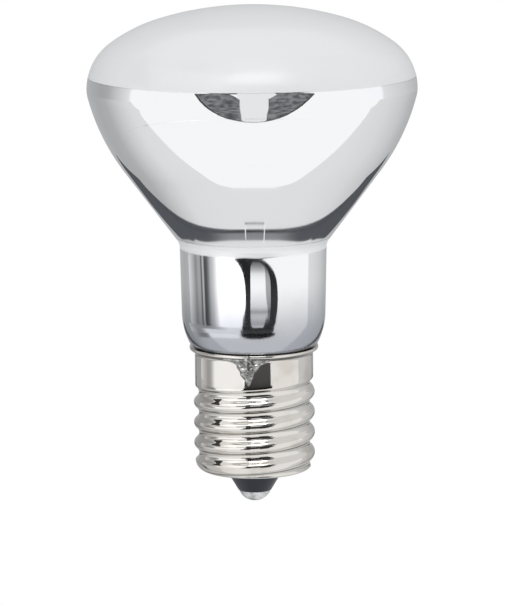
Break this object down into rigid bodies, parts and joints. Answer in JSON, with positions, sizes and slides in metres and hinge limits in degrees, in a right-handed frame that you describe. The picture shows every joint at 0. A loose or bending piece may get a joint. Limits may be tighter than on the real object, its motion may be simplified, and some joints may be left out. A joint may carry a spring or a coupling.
{
  "type": "reflector bulb",
  "caption": "Small reflector lamp: a mirrored flaring glass bowl with a frosted domed face, on a threaded metal screw base with a soldered tip contact.",
  "frame": {"origin": "tip of the centre contact on the lamp's axis", "axes": "+Z along the axis from the contact to the face, -Y towards the viewer of the picture, +X to the viewer's right"},
  "size_m": [0.0444, 0.0444, 0.0678],
  "materials": {
    "coated_glass": "mirrored bowl and frosted face",
    "nickel": "bright nickel plate",
    "cement": "matt",
    "black_glass": "gloss",
    "brass": "bright",
    "solder": "satin",
    "lead_wire": "satin"
  },
  "bodies": {
    "root": {"glass_bulb": "coated_glass", "screw_shell": "nickel", "base_cement": "cement", "insulator": "black_glass", "contact_eyelet": "brass", "contact_solder": "solder", "centre_lead": "lead_wire", "side_lead": "lead_wire", "side_solder": "solder"}
  },
  "joints": []
}
